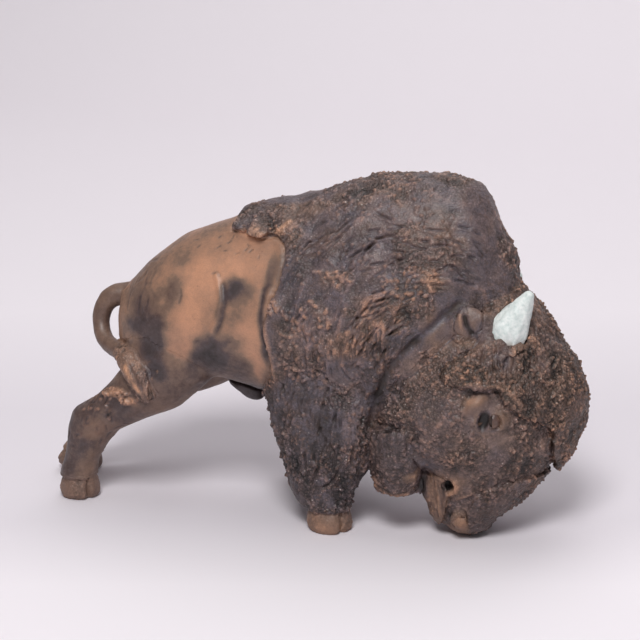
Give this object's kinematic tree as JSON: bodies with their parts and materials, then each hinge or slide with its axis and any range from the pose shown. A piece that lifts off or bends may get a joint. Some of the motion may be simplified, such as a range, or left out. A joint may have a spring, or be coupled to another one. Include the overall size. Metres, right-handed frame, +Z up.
{
  "type": "stoneware bison figurine",
  "caption": "Hand-built stoneware bison with lowered head, rough clay coat over hump and shoulders, smooth terracotta rump, pale horns and a curled tail.",
  "frame": {"origin": "centre of the footprint box, on the surface that the hooves and the nose stand on", "axes": "+X towards the head, +Y to the animal's left, +Z up"},
  "size_m": [0.2896, 0.096, 0.1798],
  "materials": {
    "smooth_clay": "burnished terracotta clay with smoke patches",
    "rough_clay": "rough dark brown grogged clay",
    "bare_clay": "bare tan clay",
    "pale_glaze": "thin pale grey-green glaze",
    "dark_clay": "smooth dark slip"
  },
  "bodies": {
    "root": {"body_shell": "smooth_clay", "mane_coat": "rough_clay", "hind_leg_right": "smooth_clay", "hoof_hind_right": "bare_clay", "fore_leg_right": "rough_clay", "hoof_fore_right": "bare_clay", "hind_leg_left": "smooth_clay", "hoof_hind_left": "bare_clay", "fore_leg_left": "rough_clay", "hoof_fore_left": "bare_clay", "head": "rough_clay", "eye_right": "dark_clay", "eye_left": "dark_clay", "brow_right": "bare_clay", "brow_left": "bare_clay", "nose_pad": "bare_clay", "lower_jaw": "rough_clay", "forelock": "rough_clay", "nose_bridge": "rough_clay", "upper_lip": "bare_clay", "horn_right": "pale_glaze", "horn_left": "pale_glaze", "ear_right": "rough_clay", "ear_left": "rough_clay", "tail": "smooth_clay", "tail_tuft": "rough_clay", "belly_sheath": "smooth_clay", "saddle_patch": "rough_clay"}
  },
  "joints": []
}
